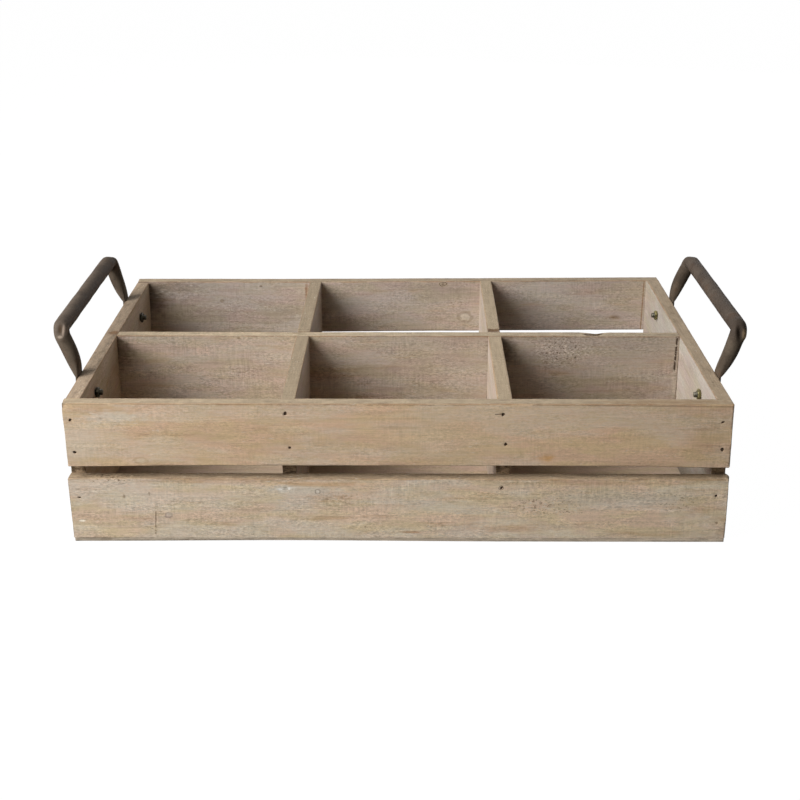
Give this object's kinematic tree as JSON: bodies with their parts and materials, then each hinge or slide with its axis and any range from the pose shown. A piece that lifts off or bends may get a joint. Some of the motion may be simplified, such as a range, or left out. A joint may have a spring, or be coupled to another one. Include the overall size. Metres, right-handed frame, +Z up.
{
  "type": "compartment planter box",
  "caption": "Rectangular slatted softwood tray split into square planting compartments by notched dividers, with a bolted steel tube handle at each end.",
  "frame": {"origin": "on the underside of the base panel, which is the face that the box stands on, under the middle of the long divider", "axes": "+X along the long side, towards the right handle; +Y from the front slats to the rear ones; +Z up"},
  "size_m": [0.5424, 0.349, 0.156],
  "materials": {
    "washed_softwood": "sawn softwood with a thin grey-white wash, matt",
    "plywood": "raw thin plywood, matt",
    "dark_steel": "grey-brown antiqued steel, satin",
    "dulled_zinc": "dulled yellow zinc plating",
    "nail_steel": "dark oxidised steel"
  },
  "bodies": {
    "root": {"front_upper_slat": "washed_softwood", "front_lower_slat": "washed_softwood", "rear_upper_slat": "washed_softwood", "rear_lower_slat": "washed_softwood", "left_end_board": "washed_softwood", "right_end_board": "washed_softwood", "long_divider": "washed_softwood", "left_cross_divider": "washed_softwood", "right_cross_divider": "washed_softwood", "base_panel": "plywood", "left_handle": "dark_steel", "left_front_bolt": "dulled_zinc", "left_front_nut": "dulled_zinc", "left_rear_bolt": "dulled_zinc", "left_rear_nut": "dulled_zinc", "right_handle": "dark_steel", "right_front_bolt": "dulled_zinc", "right_front_nut": "dulled_zinc", "right_rear_bolt": "dulled_zinc", "right_rear_nut": "dulled_zinc", "front_upper_nail_1": "nail_steel", "front_upper_nail_2": "nail_steel", "front_upper_nail_3": "nail_steel", "front_upper_nail_4": "nail_steel", "front_upper_nail_5": "nail_steel", "front_upper_nail_6": "nail_steel", "front_upper_nail_7": "nail_steel", "front_upper_nail_8": "nail_steel", "front_lower_nail_1": "nail_steel", "front_lower_nail_2": "nail_steel", "front_lower_nail_3": "nail_steel", "front_lower_nail_4": "nail_steel", "front_lower_nail_5": "nail_steel", "front_lower_nail_6": "nail_steel", "rear_upper_nail_1": "nail_steel", "rear_upper_nail_2": "nail_steel", "rear_upper_nail_3": "nail_steel", "rear_upper_nail_4": "nail_steel", "rear_upper_nail_5": "nail_steel", "rear_upper_nail_6": "nail_steel", "rear_upper_nail_7": "nail_steel", "rear_upper_nail_8": "nail_steel", "rear_lower_nail_1": "nail_steel", "rear_lower_nail_2": "nail_steel", "rear_lower_nail_3": "nail_steel", "rear_lower_nail_4": "nail_steel", "rear_lower_nail_5": "nail_steel", "rear_lower_nail_6": "nail_steel", "left_long_divider_nail_1": "nail_steel", "left_long_divider_nail_2": "nail_steel", "right_long_divider_nail_1": "nail_steel", "right_long_divider_nail_2": "nail_steel", "left_base_nail_1": "nail_steel", "left_base_nail_2": "nail_steel", "right_base_nail_1": "nail_steel", "right_base_nail_2": "nail_steel"}
  },
  "joints": []
}
